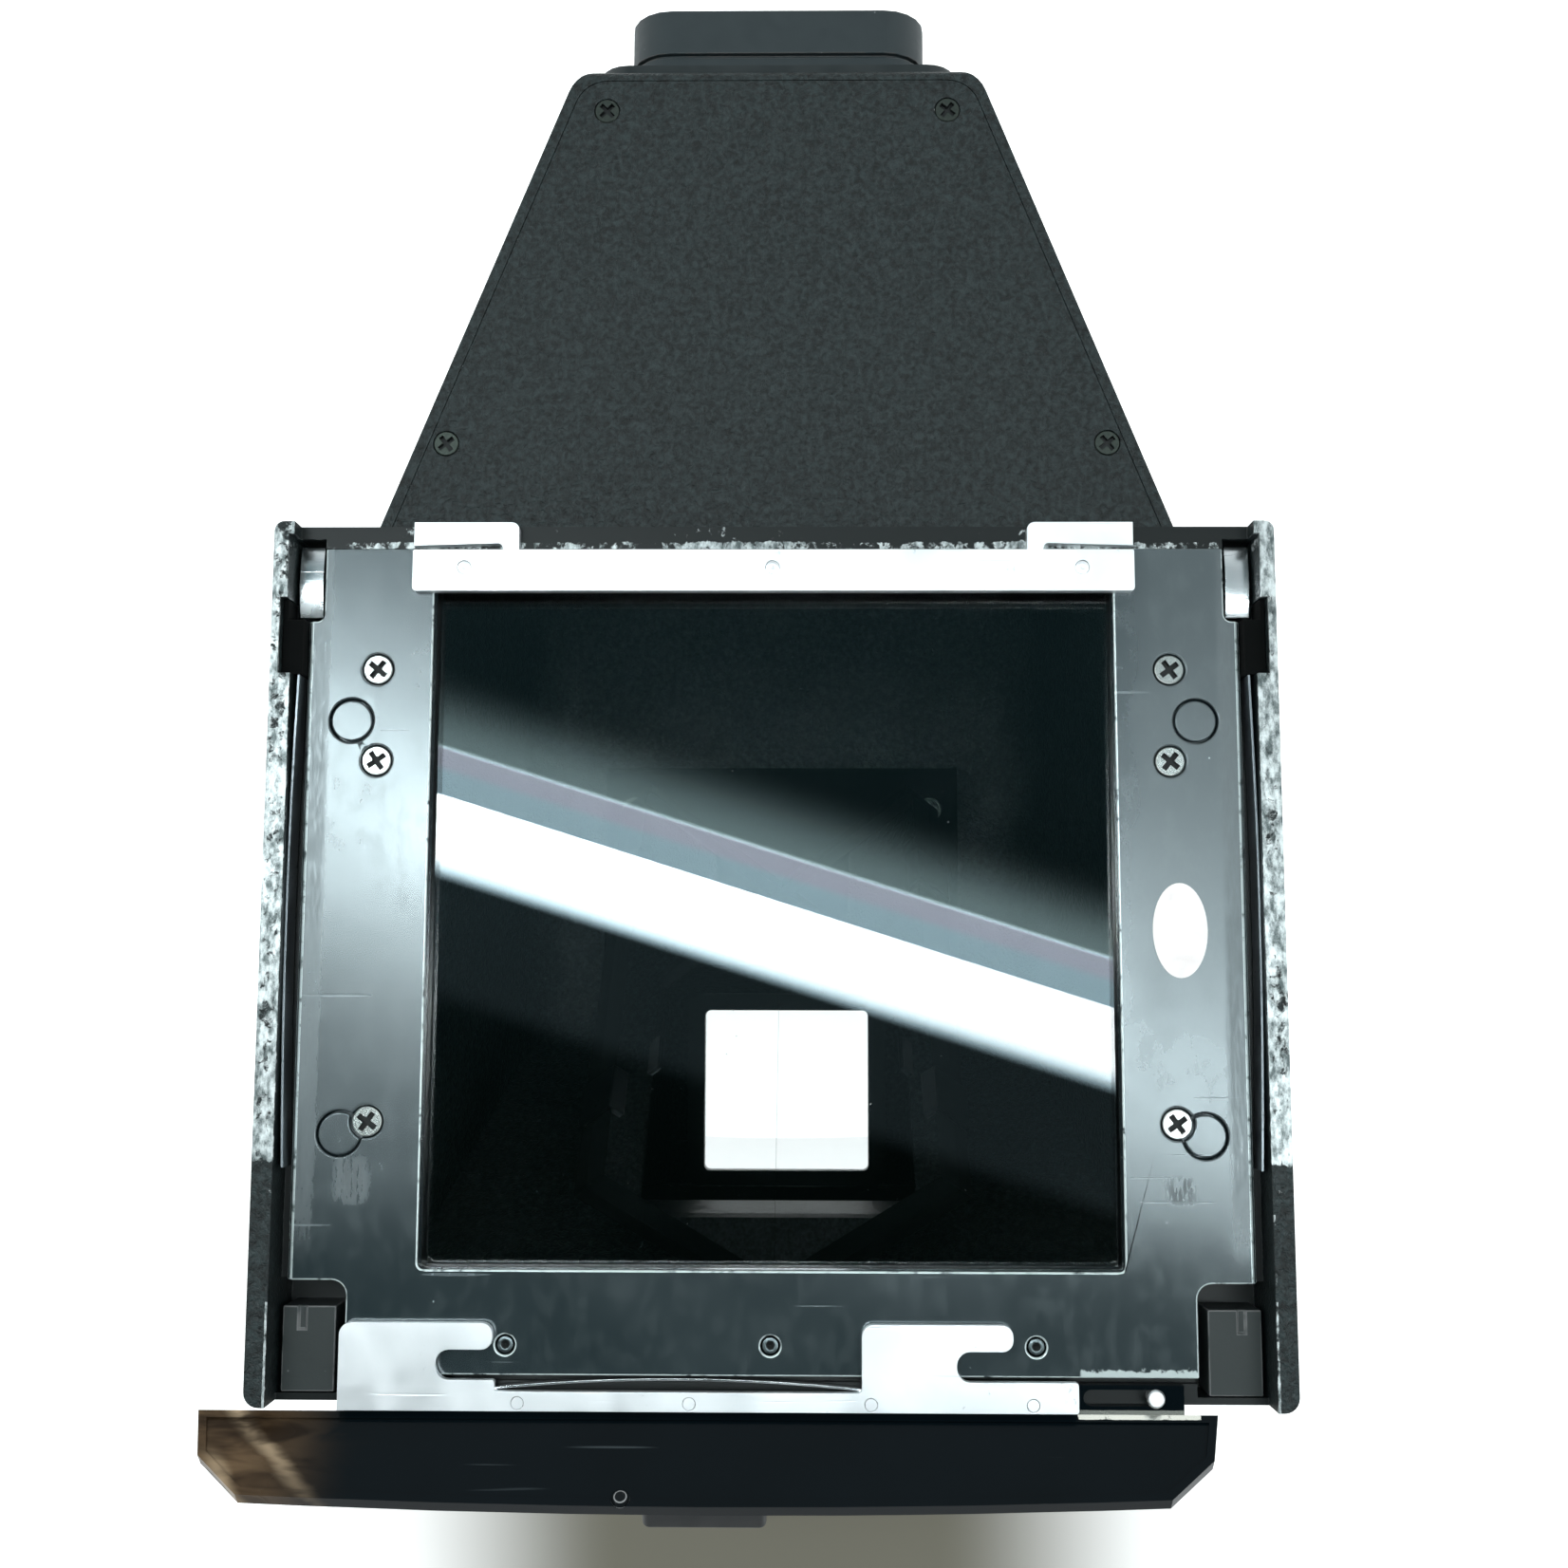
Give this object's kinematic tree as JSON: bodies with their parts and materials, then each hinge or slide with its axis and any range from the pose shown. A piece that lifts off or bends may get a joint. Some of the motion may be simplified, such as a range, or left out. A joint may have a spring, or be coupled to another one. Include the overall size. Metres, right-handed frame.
{
  "type": "camera prism finder",
  "caption": "Eye-level mirror finder for a 6x7 reflex camera, on its roof: square window, sliding lock plate with hooks and release button, tapering tail with eyepiece.",
  "frame": {"origin": "where the optical axis of the square window crosses the seat face", "axes": "+Z out of the seat face, towards the camera body that the finder locks onto; +Y towards the eyepiece; +X to the right when looking at the seat with the eyepiece at the top, which is also the way the lock slide closes"},
  "size_m": [0.1087, 0.1683, 0.0833],
  "materials": {
    "wrinkle_black": "wrinkle-finish black lacquer over die-cast alloy, worn bright on the edges",
    "satin_black": "satin black lacquer on a pressed plate, slightly worn",
    "gloss_black": "gloss black lacquer, brassed at the edges",
    "chrome": "bright chrome plate, lightly scratched",
    "spring_steel": "blued spring steel",
    "screw_steel": "zinc-plated steel screw",
    "black_screw": "blackened steel screw",
    "glass": "coated protective glass",
    "lens_glass": "coated optical glass",
    "mirror_glass": "front-silvered mirror",
    "matt_black": "flock black light trap finish",
    "block_black": "moulded black plastic",
    "rubber": "soft matt rubber",
    "foam": "closed foam gasket",
    "label": "blank paper label"
  },
  "bodies": {
    "finder": {"housing_shell": "wrinkle_black", "bottom_cover": "wrinkle_black", "cover_screws": "black_screw", "seat_plate": "satin_black", "plate_screws": "screw_steel", "index_discs": "satin_black", "front_rivets": "screw_steel", "corner_block_left": "block_black", "corner_block_right": "block_black", "window_glass": "glass", "window_gasket": "foam", "rear_hook_bar": "chrome", "hook_bar_rivets": "chrome", "corner_spring_left": "chrome", "corner_spring_right": "chrome", "side_spring_left": "spring_steel", "side_spring_right": "spring_steel", "spring_block_left": "matt_black", "spring_block_right": "matt_black", "inspection_label": "label", "guide_pins": "chrome", "mirror_left": "mirror_glass", "mirror_right": "mirror_glass", "mirror_cradle": "matt_black", "mirror_clips": "spring_steel", "cradle_screws": "screw_steel", "tail_baffle": "matt_black", "eyepiece_frame": "gloss_black", "eyepiece_screws": "black_screw", "eye_lens": "lens_glass", "field_lens": "lens_glass", "lens_retainer": "matt_black", "eyecup": "rubber"},
    "lock_slide": {"lock_plate": "gloss_black", "hook_plate": "chrome", "hook_rivets": "chrome", "slide_spring": "chrome", "stop_rivet": "black_screw", "button_guide": "gloss_black", "guide_rivets": "black_screw", "button_spring": "spring_steel"},
    "release_button": {"release_button": "gloss_black"}
  },
  "joints": [
    {"name": "lock_slide", "type": "slide", "parent": "finder", "child": "lock_slide", "axis": [1, 0, 0], "range_m": [0, 0.0063]},
    {"name": "button_press", "type": "slide", "parent": "lock_slide", "child": "release_button", "axis": [0, 0.7071, 0.7071], "range_m": [0, 0.0012], "stiffness_N_per_m": 400, "springref_m": -0.0006, "deforming": ["button_spring"]}
  ]
}
